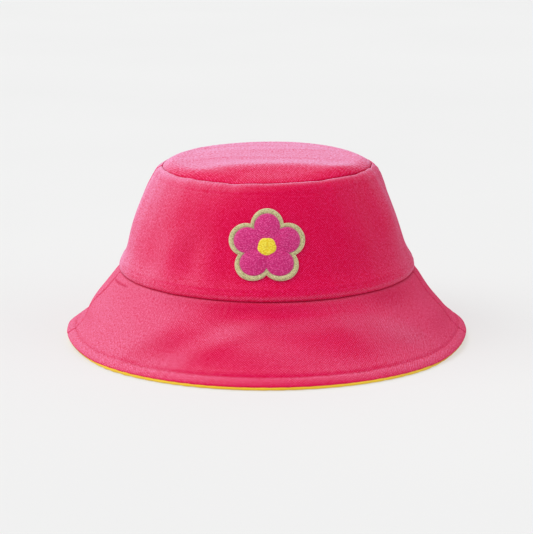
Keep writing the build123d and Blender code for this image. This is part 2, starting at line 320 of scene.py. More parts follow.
def make_object(name, points, faces, uvs=None, merge=0.0, crease=None):
    """An object from points in millimetres, quads, and a UV in metres for each face corner."""
    mesh = bpy.data.meshes.new(name)
    points = (np.asarray(points, float) * MM).astype(np.float32)
    faces = np.asarray(faces, np.int32)
    mesh.vertices.add(len(points))
    mesh.vertices.foreach_set("co", points.ravel())
    mesh.loops.add(faces.size)
    mesh.loops.foreach_set("vertex_index", faces.ravel())
    mesh.polygons.add(len(faces))
    mesh.polygons.foreach_set("loop_start", np.arange(0, faces.size, 4, dtype=np.int32))
    mesh.polygons.foreach_set("loop_total", np.full(len(faces), 4, np.int32))
    if uvs is not None:
        layer = mesh.uv_layers.new(name="grain")
        layer.data.foreach_set("uv", np.asarray(uvs, np.float32).ravel())
    mesh.update(calc_edges=True)
    mesh.validate()
    # painted shade (above 0) and painted highlight (below 0) at each point, for the cloth material
    if crease is not None:
        attribute = mesh.attributes.new("crease", "FLOAT", "POINT")
        attribute.data.foreach_set("value", crease.astype(np.float32))
    work = bmesh.new()
    work.from_mesh(mesh)
    if merge:
        bmesh.ops.remove_doubles(work, verts=work.verts, dist=merge)
    bmesh.ops.recalc_face_normals(work, faces=work.faces)
    work.to_mesh(mesh)
    work.free()
    mesh.shade_smooth()
    obj = bpy.data.objects.new(name, mesh)
    bpy.context.scene.collection.objects.link(obj)
    return obj


def dress(obj, node, look, body="crown", radii=None):
    """Gives a piece the material of its look and hides the part it replaces; without radii it is
    attached to its body, with radii its transform is baked instead.
    """
    slot, material = look
    obj.data.materials.append(material)
    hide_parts(node)
    if radii is None:
        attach(obj, body)
    else:
        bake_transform(obj)


def grid_faces(rows, columns, wrap_rows=False):
    """Quads of a grid whose columns wrap round, and the row and column of each quad."""
    i, j = np.meshgrid(
        np.arange(rows if wrap_rows else rows - 1), np.arange(columns), indexing="ij"
    )
    i, j = i.ravel(), j.ravel()
    i2, j2 = (i + 1) % rows, (j + 1) % columns
    corners = [i * columns + j, i2 * columns + j, i2 * columns + j2, i * columns + j2]
    return np.stack(corners, 1), i, j


def end_strips(rows, size):
    """Quads closing the first and last row between the section points that face each other."""
    return np.array([
        (base + a, base + a + 1, base + size - 2 - a, base + size - 1 - a)
        for base in (0, (rows - 1) * size)
        for a in range(size // 2 - 1)
    ])


def ply(curve, start, end, outer, inner, count, cap=4, thinning=lambda run: 1.0):
    """Closed section of a cloth ply between two offsets of a curve, its two ends rounded.

    Rows: radius, z, the normal's two parts, run, face (1 outer, 0 inner). Point a faces the
    point a places from the end.
    """
    full = (outer - inner) / 2

    def cap_points(run, step, turns):
        half = full * float(thinning(run))
        middle = outer - half
        r, z, normal_r, normal_z = curve.at(run, middle)
        along_r, along_z = normal_z, -normal_r
        next_r, next_z = curve.at(run + step, middle)[:2]
        if (next_r - r) * along_r + (next_z - z) * along_z < 0:
            along_r, along_z = -along_r, -along_z
        rows = []
        for turn in turns:
            along, up = math.cos(turn) * half * 0.9, math.sin(turn) * half
            rows.append((
                r + along_r * along + normal_r * up, z + along_z * along + normal_z * up,
                normal_r, normal_z, run, math.sin(turn),
            ))
        return rows

    runs = np.linspace(start, end, count)
    top = np.vstack([
        cap_points(runs[0], -0.5, np.linspace(0, PI / 2, cap + 1)[:-1]),
        np.column_stack([*curve.at(runs, outer), runs, np.ones(count)]),
        cap_points(runs[-1], 0.5, np.linspace(PI / 2, 0, cap + 1)[1:]),
    ])
    # the inner face mirrors the outer one across the middle line
    back = top[::-1].copy()
    depth = 2 * np.maximum(back[:, 5] * full * thinning(back[:, 4]), 0.02)
    back[:, :2] -= depth[:, None] * back[:, 2:4]
    back[:, 5] = 0.0
    return np.vstack([top, back]).T


def disc_ply(curve, thickness, count, cap):
    """Section of a disc: a ply that ends in two points on the axis instead of a rounded end."""
    section = ply(curve, 0.0, curve.length, 0.0, -thickness, count, cap=cap)[:, cap:-cap]
    section[0, [0, -1]] = 0.0
    return section


def sweep(name, node, look, section, count, arc=None, detail=None, crease=None, dip=0.0,
          uv_radius=80.0, planar_uv=False, merge=0.0, hinged=False):
    """Sweeps a closed section round the Z axis, over an arc or a whole turn.

    detail and the shade function are functions of angle, run and face: how far the surface moves
    along its normal, and how much painted shade (above 0) or painted highlight (below 0) goes into
    the colour. dip turns the side edges of an open panel in at the seam, with painted shade along it.
    """
    r, z, normal_r, normal_z, run, face = section
    size = len(r)
    angles = np.linspace(*(arc or (0, 2 * PI)), count, endpoint=arc is not None)
    angle, radius = np.meshgrid(angles, r, indexing="ij")
    push = np.zeros_like(angle)
    if detail:
        push = push + detail(angle, run, face)
    if dip:
        to_seam = np.minimum(angle - arc[0], arc[1] - angle) * radius
        push = push - face * dip * bump(to_seam, 0, DIP_WIDTH)
    creases = None
    if crease:
        creases = np.broadcast_to(crease(angle, run, face), angle.shape)
        if dip:
            # painted shade along the side seam
            seam = 0.9 * bump(to_seam, 0, 0.75 * DIP_WIDTH)
            creases = np.where(seam > 0.02, np.maximum(creases, seam), creases)
        creases = creases.ravel()
    pushed = radius + push * normal_r
    points = np.stack(
        [pushed * np.cos(angle), pushed * np.sin(angle), z + push * normal_z], 2
    ).reshape(-1, 3)
    faces, i, j = grid_faces(count, size, wrap_rows=arc is None)
    if planar_uv:
        uvs = (points[:, :2] * MM * np.array([1.0, 0.5]))[faces.ravel()]
    else:
        across = np.r_[angles, angles[-1] + (angles[1] - angles[0])] * uv_radius * MM
        steps = np.hypot(np.diff(np.r_[r, r[0]]), np.diff(np.r_[z, z[0]]))
        around = np.r_[0, np.cumsum(steps)] * MM
        uvs = np.stack(
            [np.stack([across[i + a], around[j + b]], 1) for a, b in CORNERS], 1
        ).reshape(-1, 2)
    if arc:
        ends = end_strips(count, size)
        faces = np.vstack([faces, ends])
        uvs = np.vstack([uvs, np.tile(CORNERS, (len(ends), 1)) * MM])
    obj = make_object(name, sag(points), faces, uvs, merge=merge, crease=creases)
    dress(obj, node, look, radii=radius.ravel() if hinged else None)


def panels(name, node, look, section, arcs, counts, **options):
    """A front and a back panel swept from one section."""
    for (side, arc), count in zip(arcs.items(), counts):
        sweep(f"{name}_{side}", f"{node}_{side}", look, section, count, arc=arc, **options)


# ---------------------------------------------------------------- materials
WAVE_SCALE = 314.16      # wave texture scale that repeats every millimetre of a UV map in metres


class Net:
    """A material with a Principled surface, and short names for building its node tree."""

    def __init__(self, name):
        self.material = bpy.data.materials.new(name)
        self.material.use_nodes = True
        self.tree = self.material.node_tree
        self.tree.nodes.clear()
        output = self.node("ShaderNodeOutputMaterial")
        self.shader = self.node("ShaderNodeBsdfPrincipled")
        self.plug(output.inputs[0], self.shader.outputs[0])

    def plug(self, socket, value):
        """Links a socket to another, or sets its value; a colour may leave out its alpha."""
        if isinstance(value, bpy.types.NodeSocket):
            self.tree.links.new(value, socket)
        elif socket.type == "RGBA" and len(value) == 3:
            socket.default_value = (*value, 1.0)
        else:
            socket.default_value = value

    def fill(self, node, inputs):
        for key, value in inputs.items():
            self.plug(node.inputs[key], value)

    def node(self, kind, inputs={}, **settings):
        node = self.tree.nodes.new(kind)
        for key, value in settings.items():
            setattr(node, key, value)
        self.fill(node, inputs)
        return node

    def surface(self, inputs):
        self.fill(self.shader, inputs)
        return self.material

    def math(self, operation, a, b):
        inputs = {0: a, 1: b, 2: 0.0}
        return self.node("ShaderNodeMath", inputs, operation=operation).outputs[0]

    def add(self, a, b):
        return self.math("ADD", a, b)

    def minus(self, a, b):
        return self.math("SUBTRACT", a, b)

    def times(self, a, b):
        return self.math("MULTIPLY", a, b)

    def vary(self, value, source, amount):
        """Adds a 0 to 1 source, centred on zero and scaled."""
        return self.add(value, self.times(self.minus(source, 0.5), amount))

    def uv(self):
        return self.node("ShaderNodeUVMap", uv_map="grain").outputs[0]

    def place(self):
        return self.node("ShaderNodeTexCoord").outputs["Object"]

    def mapping(self, vector, rotation, scale=(1, 1, 1)):
        inputs = {"Vector": vector, "Rotation": rotation, "Scale": scale}
        return self.node("ShaderNodeMapping", inputs).outputs[0]

    def noise(self, vector, scale, detail=2.0, roughness=0.5, output="Fac"):
        inputs = {"Vector": vector, "Scale": scale, "Detail": detail, "Roughness": roughness}
        return self.node("ShaderNodeTexNoise", inputs).outputs[output]

    def wave(self, vector, scale, distortion, direction="X", **more):
        inputs = {"Vector": vector, "Scale": scale, "Distortion": distortion, **more}
        settings = dict(wave_type="BANDS", bands_direction=direction, wave_profile="SIN")
        return self.node("ShaderNodeTexWave", inputs, **settings).outputs["Fac"]

    def voronoi(self, vector, scale, smoothness):
        inputs = {"Vector": vector, "Scale": scale, "Smoothness": smoothness}
        node = self.node("ShaderNodeTexVoronoi", inputs, feature="SMOOTH_F1")
        return node.outputs["Distance"]

    def wobble(self, vector, scale, amount):
        """The vector moved about by a colour noise."""
        colour = self.noise(vector, scale, output="Color")
        inputs = {0: colour, "Scale": amount}
        shift = self.node("ShaderNodeVectorMath", inputs, operation="SCALE").outputs[0]
        inputs = {0: vector, 1: shift}
        return self.node("ShaderNodeVectorMath", inputs, operation="ADD").outputs[0]

    def ramp(self, factor, *stops):
        """A colour ramp with two stops, each (position, colour)."""
        node = self.node("ShaderNodeValToRGB", {0: factor})
        for element, (position, colour) in zip(node.color_ramp.elements, stops):
            element.position = position
            element.color = (*colour, 1.0)
        return node.outputs[0]

    def mix(self, factor, a, b):
        inputs = {0: factor, 6: a, 7: b}
        return self.node("ShaderNodeMix", inputs, data_type="RGBA").outputs[2]

    def facing(self, **more):
        """0 seen flat, 1 where the eye grazes the surface."""
        return self.node("ShaderNodeLayerWeight", {"Blend": 0.5, **more}).outputs["Facing"]

    def bump(self, height, strength, distance):
        inputs = {"Strength": strength, "Distance": distance, "Height": height}
        return self.node("ShaderNodeBump", inputs).outputs[0]


def about_z(degrees):
    return (0, 0, math.radians(degrees))


PINK_DEEP = (0.715, 0.0008, 0.050)
PINK_LIGHT = (0.89, 0.031, 0.185)
# colour of the painted sheen at grazing view
PINK_PAINTED_SHEEN = (0.95, 0.53, 0.82)
# colour of the painted shade in creases and hollows
PINK_PAINTED_SHADE = (PINK_DEEP[0] * 0.5, PINK_DEEP[1] * 0.6, PINK_DEEP[2] * 0.5)
PAINTED_LIGHT_WAY = (-0.45, 0.0, 0.85)         # painted sheen is strongest on faces turned this way, up and to the left, towards the key light
CLOTH_BUMP = dict(strength=0.5, distance=0.00034)
CLOTH_SOFT_BUMP = dict(strength=0.5 * 0.65, distance=0.00034)


def cloth_height(net, uv, fuzz, pitch, twill):
    """Fine crossing ribs broken into pebbles under a short pile."""
    cloth = net.wobble(uv, scale=330.0, amount=0.0013)
    ribs = [
        net.wave(
            net.mapping(cloth, about_z(degrees)), WAVE_SCALE / pitch * density,
            distortion=0.35, Detail=1.0,
        )
        for degrees, density in ((-47, 1.0), (44, 0.93))
    ]
    rib = net.times(ribs[0], net.add(0.3, net.times(ribs[1], 0.9)))
    # pebbles, longer along the rib
    stretched = net.mapping(cloth, about_z(-40), scale=(1.0, 1.4, 1.0))
    pits = net.voronoi(stretched, 1000.0 / (pitch * 1.25), smoothness=0.25)
    pebble = net.minus(1.05, net.times(pits, 1.35))
    height = net.add(net.times(rib, twill), net.times(pebble, 1.0 - twill))
    return net.vary(height, fuzz, 0.6)


def cloth_material(name, side=0.58, gain=0.68, power=2.4, cap=0.6, twill=0.55, pitch=0.88,
                   contrast=2.7):
    """Brushed pink twill: deep seen flat, with painted sheen that turns it pale where the eye grazes
    it.

    side is the extra painted sheen on faces turned towards the key light; gain, power and cap shape
    the painted sheen at grazing view; twill is the share of ribs against pebbles; pitch is the rib
    spacing in mm; contrast is between rib tops and valleys.
    """
    net = Net(name)
    uv = net.uv()
    fuzz = net.noise(uv, 950.0, detail=4.0, roughness=0.7)
    height = cloth_height(net, uv, fuzz, pitch, twill)
    # colour: deep in the valleys, lighter on the nap, drifting slowly over the cloth
    drift = net.noise(net.place(), 13.0, detail=3.0, roughness=0.55)
    blotch = net.noise(net.place(), 75.0)
    mottle = net.minus(net.noise(uv, 800.0, roughness=0.55), 0.5)
    tone = net.add(net.times(net.minus(height, 0.5), 0.9 * contrast), 0.42)
    tone = net.vary(tone, drift, 0.5)
    tone = net.vary(tone, blotch, 0.25)
    tone = net.add(tone, net.times(mottle, 1.4))
    colour = net.ramp(tone, (0.05, PINK_DEEP), (0.95, PINK_LIGHT))
    # painted sheen: the colour turns pale where the eye grazes the cloth, most on faces turned
    # towards the key light, up and to the left
    facing = net.facing(Normal=net.bump(height, **CLOTH_SOFT_BUMP))
    painted_sheen = net.times(net.math("POWER", facing, power), gain)
    painted_sheen = net.math("MINIMUM", painted_sheen, cap)
    normal = net.node("ShaderNodeNewGeometry").outputs["Normal"]
    inputs = {0: normal, 1: PAINTED_LIGHT_WAY}
    towards_light = net.node("ShaderNodeVectorMath", inputs, operation="DOT_PRODUCT").outputs["Value"]
    lit_side_range = {"From Min": -0.15, "From Max": 0.8, "To Min": 0.5, "To Max": 1.0}
    lit_side = net.node("ShaderNodeMapRange", {"Value": towards_light, **lit_side_range}).outputs[0]
    painted_sheen = net.times(painted_sheen, lit_side)
    towards_light_part = net.math("MAXIMUM", net.minus(towards_light, 0.3), 0.0)
    painted_sheen = net.add(painted_sheen, net.times(net.times(towards_light_part, towards_light_part), side))
    # the painted sheen is stronger on the pebble tops than in the valleys
    tops = net.add(net.times(height, 1.3), net.times(mottle, 1.5))
    painted_sheen = net.times(painted_sheen, net.add(0.42, tops))
    # the shade attribute above 0 is painted shade in creases, hollows and where the crown shades the
    # brim; below 0 it is painted highlight on rolled edges and fold ridges
    crease = net.node("ShaderNodeAttribute", attribute_name="crease").outputs["Fac"]
    # pressed is the painted shade, raised the painted highlight
    pressed = net.math("MAXIMUM", crease, 0.0)
    raised = net.math("MAXIMUM", net.times(crease, -1.0), 0.0)
    painted_sheen = net.add(painted_sheen, net.times(raised, net.add(0.2, height)))
    painted_sheen = net.times(painted_sheen, net.minus(1.0, pressed))
    # mixes in the painted sheen and the painted highlight
    colour = net.mix(painted_sheen, colour, PINK_PAINTED_SHEEN)
    # darkens the colour with the painted shade
    colour = net.mix(net.times(pressed, 0.6), colour, PINK_PAINTED_SHADE)
    return net.surface({
        "Base Color": colour,
        "Roughness": net.add(0.72, net.times(fuzz, 0.16)),
        "Specular IOR Level": 0.03,
        "Sheen Weight": net.times(net.minus(1.0, pressed), 0.0),
        "Sheen Roughness": 0.5,
        "Sheen Tint": (1.0, 0.6, 0.78),
        "Normal": net.bump(height, **CLOTH_BUMP),
    })


def thread_material(name, deep, light, sheen=0.35):
    """Twisted thread: fine slanting strands with a soft shine."""
    net = Net(name)
    fineness = 2200.0
    slanted = net.mapping(net.place(), rotation=(0.6, 0.5, 0.7))
    strand = net.wave(slanted, fineness / 3.0, distortion=1.5, direction="DIAGONAL")
    fuzz = net.noise(net.place(), fineness, detail=3.0, roughness=0.6)
    tone = net.add(net.times(strand, 0.6), net.times(fuzz, 0.4))
    return net.surface({
        "Base Color": net.ramp(tone, (0.25, deep), (0.8, light)),
        "Roughness": net.add(0.4, net.times(fuzz, 0.2)),
        "Sheen Weight": sheen,
        "Specular IOR Level": 0.3,
        "Normal": net.bump(tone, strength=0.5, distance=0.00012),
    })


def embroidery_material(name, deep, light, edge, pitch, strength=1.0, speck=None,
                        contrast=(0.25, 0.85)):
    """Dense fill stitching: raised pebbles with dark pits between.

    edge is the colour of the painted sheen at grazing view, pitch the stitch spacing in mm, strength
    the relief, speck the colour of extra pits, and contrast the heights that are deep and light.
    """
    net = Net(name)
    uv = net.uv()
    wobbled = net.wobble(uv, scale=500.0, amount=0.0010)
    stretched = net.mapping(wobbled, about_z(38), scale=(1.0, 1.7, 1.0))
    pebbles = net.voronoi(stretched, 1000.0 / pitch, smoothness=0.15)
    fuzz = net.noise(uv, 1000.0 / pitch * 1.5, detail=3.0, roughness=0.6)
    height = net.vary(net.minus(1.05, net.times(pebbles, 1.5)), fuzz, 0.6)
    colour = net.ramp(height, (contrast[0], deep), (contrast[1], light))
    if speck is not None:
        pits = net.voronoi(uv, 1000.0 / 1.05, smoothness=0.05)
        spots = net.ramp(pits, (0.20, (1, 1, 1)), (0.42, (0, 0, 0)))
        colour = net.mix(net.times(spots, 0.8), colour, speck)
    # painted sheen: the colour turns towards edge where the eye grazes the stitching
    grazing_sheen_paint = net.times(net.math("POWER", net.facing(), 1.6), 0.8)
    return net.surface({
        "Base Color": net.mix(net.math("MINIMUM", grazing_sheen_paint, 0.6), colour, edge),
        "Roughness": net.add(0.5, net.times(fuzz, 0.2)),
        "Specular IOR Level": 0.25,
        "Sheen Weight": 0.2,
        "Sheen Roughness": 0.4,
        "Sheen Tint": edge,
        "Normal": net.bump(height, strength, distance=0.00032),
    })


def woven_material(name, deep, light, pitch=0.55, sheen=0.25, rough=0.8, strength=0.45):
    """Plain weave: two crossing thread systems, pitch mm apart."""
    net = Net(name)
    uv = net.uv()
    threads = [
        net.wave(
            net.mapping(uv, about_z(degrees)), WAVE_SCALE / pitch, distortion=0.8, Detail=1.0
        )
        for degrees in (0.0, 90.0)
    ]
    cross = net.times(*threads)
    fuzz = net.noise(uv, 2400.0, detail=3.0, roughness=0.6)
    height = net.add(net.times(cross, 0.8), net.times(fuzz, 0.3))
    drift = net.noise(net.place(), 22.0, detail=3.0, roughness=0.55)
    tone = net.add(net.times(height, 0.5), net.times(drift, 0.5))
    return net.surface({
        "Base Color": net.ramp(tone, (0.25, deep), (0.75, light)),
        "Roughness": net.add(rough - 0.1, net.times(fuzz, 0.2)),
        "Specular IOR Level": 0.2,
        "Sheen Weight": sheen,
        "Normal": net.bump(height, strength, distance=0.00018),
    })


# looks: (slot, material)
PINK_BAND = "pink_fabric", cloth_material("pink_twill_band")
PINK_BRIM = "pink_fabric", cloth_material(
    "pink_twill_brim", side=0.33, gain=0.9, power=1.5, cap=0.175, twill=0.7, pitch=0.9,
    contrast=1.9,
)
PINK_TIP = "pink_fabric", cloth_material(
    "pink_twill_tip", side=0.07, gain=1.5, power=4.5, cap=0.75
)
YELLOW = "yellow_fabric", woven_material(
    "yellow_plain_weave", deep=(0.76, 0.46, 0.015), light=(0.95, 0.72, 0.06)
)
SWEATBAND = "sweatband_tape", woven_material(
    "yellow_tape", deep=(0.62, 0.34, 0.02), light=(0.84, 0.56, 0.06), pitch=0.8, strength=0.7
)
INTERLINING = "interlining", woven_material(
    "white_interlining", deep=(0.70, 0.69, 0.65), light=(0.86, 0.85, 0.82), pitch=0.9
)
FILM = "adhesive", woven_material(
    "heat_seal_film", deep=(0.72, 0.68, 0.55), light=(0.86, 0.83, 0.74), pitch=1.4,
    sheen=0.0, rough=0.45,
)
BACKING = "patch_twill", woven_material(
    "patch_twill_backing", deep=(0.50, 0.05, 0.16), light=(0.66, 0.10, 0.24), pitch=0.7
)
PINK_THREAD = "pink_thread", thread_material(
    "pink_thread", deep=(0.62, 0.004, 0.06), light=(0.80, 0.030, 0.14), sheen=0.0
)
YELLOW_THREAD = "yellow_thread", thread_material(
    "yellow_thread", deep=(0.70, 0.40, 0.02), light=(0.92, 0.66, 0.09)
)
PETALS = "petal_thread", embroidery_material(
    "petal_embroidery", deep=(0.66, 0.014, 0.185), light=(1.0, 0.125, 0.44),
    edge=(1.0, 0.46, 0.76), pitch=0.95,
)
CENTRE = "centre_thread", embroidery_material(
    "centre_embroidery", deep=(0.86, 0.62, 0.015), light=(1.0, 0.86, 0.09),
    edge=(1.0, 0.9, 0.4), pitch=1.3, strength=0.6, contrast=(0.1, 0.7),
)
BORDER = "border_thread", embroidery_material(
    "border_overlock", deep=(0.58, 0.54, 0.25), light=(0.84, 0.80, 0.47),
    edge=(0.92, 0.90, 0.70), pitch=0.9, strength=0.7, speck=(0.26, 0.21, 0.09),
)
LABEL = "label_tape", woven_material(
    "label_satin", deep=(0.74, 0.73, 0.70), light=(0.90, 0.89, 0.87), pitch=0.35,
    sheen=0.4, rough=0.5,
)

# ---------------------------------------------------------------- brim
BRIM_FOOT = brim.run_at_z(BINDING_TOP + 0.15)        # lower end of the outer ply
INNER_FOOT = inner_brim.run_at_z(BINDING_TOP + 0.15)  # and of the inner plies
past_turn = brim.run > 3             # leaves out the part turned up behind the band
NIP_RUN = float(np.interp(89.5, brim.points[past_turn, 0], brim.run[past_turn]))


def nip(angle, run, depth):
    """A short fold beside the head seam on the left, drifting away from the seam: a dent in the
    cloth, and painted shade in it.
    """
    degrees = angle_from(angle, 199)
    reach = smooth(degrees, -9.5, -6) * (1 - smooth(degrees, 5.5, 9))
    return depth * bump(run - NIP_RUN + 0.11 * degrees, 0, 0.55) * reach


def patchiness(angle, run):
    return 0.55 + 0.45 * pucker_drift(angle, run)


def brim_detail(angle, run, face):
    from_edge = brim.length - run
    patchy = patchiness(angle, run)
    # rolled hem between the topstitching and the edge
    hem = 0.50 * np.sin(PI * np.clip(from_edge / HEM, 0, 1)) ** 0.8 * (from_edge < HEM)
    groove = -0.22 * bump(from_edge, HEM, 0.8) + 0.10 * bump(from_edge, HEM + 2.3, 1.5)
    # the topstitching gathers the cloth a little, mostly on the hem side
    pucker = 0.06 * pucker_middle(angle, run) * bump(from_edge, HEM - 2.2, 2.6) * patchy
    pucker += 0.04 * pucker_coarse(angle, run) * bump(from_edge, HEM + 3.0, 3.0)
    # puckers and the nip beside the head seam
    top = 0.05 * pucker_fine(angle, run) * bump(run, 8.5, 2.5) * patchy
    top += nip(angle, run, -0.45)
    soft = 0.05 * soft_waves(angle, run * 0.2) * np.clip(run / 10, 0, 1)
    return face * (hem + groove + pucker + top + soft)


def brim_crease(angle, run, face):
    from_edge = brim.length - run
    # painted shade where the brim turns up behind the band and in the topstitching groove, painted
    # highlight on the hem beside it
    crease = np.maximum(0.7 * (1 - smooth(run, 2.6, 4.4)), 0.10 * bump(from_edge, HEM, 0.8))
    crease = crease - 0.06 * bump(from_edge, HEM - 2.4, 1.8)
    # painted shade patches, a negative depth is painted highlight; columns: depth, degrees, width in
    # degrees, run, width in run
    for depth, degrees, width, patch_run, patch_width in (
        (0.30, 320, 14, 9, 7), (0.13, 234, 12, 38, 12), (0.34, 272, 44, 5.6, 4.2),
        (0.09, 240, 12, 13, 6), (-0.10, 278, 32, 17.5, 5.5),
    ):
        crease = crease + depth * bump_at(angle, degrees, width) * bump(
            run, patch_run, patch_width
        )
    # a painted highlight streak where the brim bends
    out = (run - 4.0) / 51.0
    crease = crease - 0.15 * bump_at(angle, 314, 7, -36 * (out - 0.47)) * bump(out, 0.5, 0.26)
    # painted shade along the nip
    short = nip(angle, run, 0.55)
    return np.where(short > 0.02, np.maximum(crease, short), crease)


def underside_detail(angle, run, face):
    """Moves only the inner face, the one seen from below."""
    from_edge = inner_brim.length - run
    groove = 0.30 * bump(from_edge, HEM, 0.6)
    pucker = 0.06 * pucker_middle(angle, run) * bump(from_edge, HEM, 3.0)
    return (1 - face) * (groove + pucker)


panels(
    "brim_outer", "outer_brim", PINK_BRIM,
    ply(brim, 0.2, BRIM_FOOT - 0.25, 0.0, -BRIM_THICK, 84,
        thinning=lambda run: 0.55 + 0.45 * smooth(run, 2.2, 5.5)),
    BRIM_ARCS, counts=(440, 520), detail=brim_detail, crease=brim_crease, dip=0.8,
    uv_radius=100.0, hinged=True,
)
panels(
    "brim_stiffener", "brim_interlining", INTERLINING,
    ply(inner_brim, 5.5, INNER_FOOT - 1.4, -1.3, -1.9, 22, cap=2),
    BRIM_ARCS, counts=(150, 180), uv_radius=100.0, hinged=True,
)
panels(
    "brim_underside", "underbrim", YELLOW,
    ply(inner_brim, 2.9, INNER_FOOT + 0.4, -2.0, -2.8, 56, cap=3),
    BRIM_ARCS, counts=(300, 360), detail=underside_detail, uv_radius=100.0, hinged=True,
)


def edge_roll_section():
    """A flattened tube, longer towards the inside of the brim."""
    turn = np.linspace(0, 2 * PI, 33)[:-1]
    cosine, sine = np.cos(turn), np.sin(turn)
    reach = np.where(cosine > 0, 2.15, 3.0)
    r = BRIM_RADIUS - 2.2 + reach * np.sign(cosine) * np.abs(cosine) ** 0.75
    z = BINDING_TOP / 2 + 0.90 * np.sign(sine) * np.abs(sine) ** 0.8
    return np.array([r, z, cosine, sine, turn * 2.0, np.ones_like(turn)])


def edge_roll_detail(angle, run, face):
    tuck = smooth(np.abs(np.cos(angle)), 0.72, 0.90)       # drawn in at both sides
    pucker = 0.05 * pucker_coarse(angle, 0) + 0.03 * pucker_middle(angle, 0)
    return pucker - 1.1 * tuck * np.clip(np.cos(run / 2.0), 0, 1) ** 0.5


sweep("brim_edge_roll", "brim_edge_binding", YELLOW, edge_roll_section(), 900,
      detail=edge_roll_detail, uv_radius=118.0, hinged=True)


# ---------------------------------------------------------------- crown band and tip
def band_detail(angle, run, face):
    up = run - 1.2                   # distance above the folded lower edge
    down = wall.length - 3.4 - run   # distance below the top of the roll
    patchy = patchiness(angle, run)
    pucker = 0.06 * pucker_fine(angle, run) * bump(up, 2.0, 1.9) * patchy
    pucker += 0.03 * pucker_middle(angle, run) * bump(down, 1.0, 2.4) * patchy
    pucker += 0.02 * pucker_coarse(angle, run) * bump(down, 3.0, 3.5)
    grooves = -0.14 * bump(up, 4.5, 0.6) + 0.06 * bump(up, 6.2, 1.0)
    grooves = grooves - 0.13 * bump(down, 6.6, 0.8)
    return face * (pucker + grooves + 0.07 * soft_waves(angle, run * 0.12))


def tip_seam_crease(angle, run, length):
    """Painted shade at the front of the tip seam, near the end of a profile."""
    return smooth(run, length[0], length[1]) * bump_at(angle, 290, 62)


def band_crease(angle, run, face):
    # painted shade in the fold at the band's lower edge and at the front of the tip seam; painted
    # highlight on its two rolled edges and on two fold ridges at the front left
    low = 0.8 * (1 - smooth(run, 0.4, 1.5))
    high = tip_seam_crease(angle, run, (wall.length - 2.6, wall.length - 1.4))
    roll = 0.12 * bump(run, 2.6, 1.1) + 0.10 * bump(run, wall.length - 3.6, 0.9)
    up = run / wall.length
    pale = 0.07 * bump_at(angle, 235, 9) * bump(up, 0.45, 0.2)
    pale += 0.07 * bump_at(angle, 220, 7) * bump(up, 0.1, 0.12)
    return np.maximum(low, high) - roll - pale


panels(
    "crown_band", "outer_band", PINK_BAND,
    ply(wall, 0.5, wall.length - 0.4, 0.0, -CLOTH_THICK, 104),
    BAND_ARCS, counts=(420, 420), detail=band_detail, crease=band_crease, dip=0.75,
    uv_radius=76.0,
)

tip = Curve(TIP_PROFILE)
# soft creases across the tip, columns: y, slant, width, height
TIP_STREAKS = [
    (38.0, 0.02, 3.2, 0.30), (27.0, -0.05, 4.0, -0.26), (16.0, 0.06, 3.6, 0.24),
    (4.0, 0.03, 4.6, -0.20), (-9.0, -0.05, 4.2, 0.20), (-22.0, 0.02, 5.0, 0.16),
    (47.0, -0.03, 3.0, -0.18), (-34.0, 0.05, 6.0, -0.14),
]


def tip_detail(angle, run, face):
    r = np.interp(run, tip.run, tip.points[:, 0])
    x, y = r * np.cos(angle), r * np.sin(angle)
    height = 0.0
    for streak_y, slant, width, rise in TIP_STREAKS:
        off_line = y - streak_y - slant * x - 1.6 * np.sin(x / 17.0 + streak_y)
        fade = 0.6 + 0.4 * np.cos(x / 26.0 + 0.7 * streak_y)
        height = height + rise * bump(off_line, 0, width) * fade
    height = height * np.clip((59 - r) / 16, 0, 1)
    down = tip.length - run
    height = height + 0.04 * pucker_middle(angle, run) * bump(down, 3.6, 2.4)
    height = height + 0.025 * pucker_coarse(angle, run) * bump(down, 7.0, 5.0)
    return face * height


def tip_crease(angle, run, face):
    # painted shade at the front of the tip seam
    return tip_seam_crease(angle, run, (tip.length - 2.6, tip.length - 1.2))


sweep("crown_tip", "outer_tip", PINK_TIP, disc_ply(tip, CLOTH_THICK, count=70, cap=3), 480,
      detail=tip_detail, crease=tip_crease, planar_uv=True, merge=MERGE)

# ---------------------------------------------------------------- lining and sweatband
lining_runs = np.linspace(0.3, inner_wall.run_at_z(94.5), 30)
lining = Curve(list(zip(*inner_wall.at(lining_runs, -2.2)[:2])) + [(58.9, 99.0)])
lining_tip = Curve(LINING_TIP_PROFILE)


def lining_detail(angle, run, face):
    pucker = 0.08 * pucker_coarse(angle, run) * bump(run, lining.length, 5.0)
    return 0.10 * soft_waves(angle, run * 0.1) + pucker


def lining_tip_detail(angle, run, face):
    pucker = 0.12 * pucker_coarse(angle, run) * bump(run, lining_tip.length, 5.0)
    return pucker + 0.1 * soft_waves(angle, run * 0.1) * np.clip(run / 20, 0, 1)


def sweatband_detail(angle, run, face):
    groove = 0.16 * bump(run, SWEATBAND_HEIGHT - SWEATBAND_HEM, 0.6)
    return (1 - face) * (0.05 * pucker_coarse(angle, run) + groove)


panels("crown_lining", "lining_band", YELLOW,
       ply(lining, 0.3, lining.length, 0.0, -LINING_THICK, 44, cap=2),
       BAND_ARCS, counts=(200, 200), detail=lining_detail, uv_radius=74.0)
sweep("crown_lining_tip", "lining_tip", YELLOW,
      disc_ply(lining_tip, LINING_THICK, count=40, cap=2), 240,
      detail=lining_tip_detail, planar_uv=True, merge=MERGE)
sweep("sweatband_tape_ring", "sweatband", SWEATBAND,
      ply(inner_wall, 0.6, SWEATBAND_HEIGHT, -3.1, -4.0, 40, cap=3), 420,
      detail=sweatband_detail, uv_radius=73.0)

# ---------------------------------------------------------------- stitches
# Each stitch is a tube of RINGS rings with SIDES points.
RINGS, SIDES = 7, 6
STITCH_POINTS = RINGS * SIDES


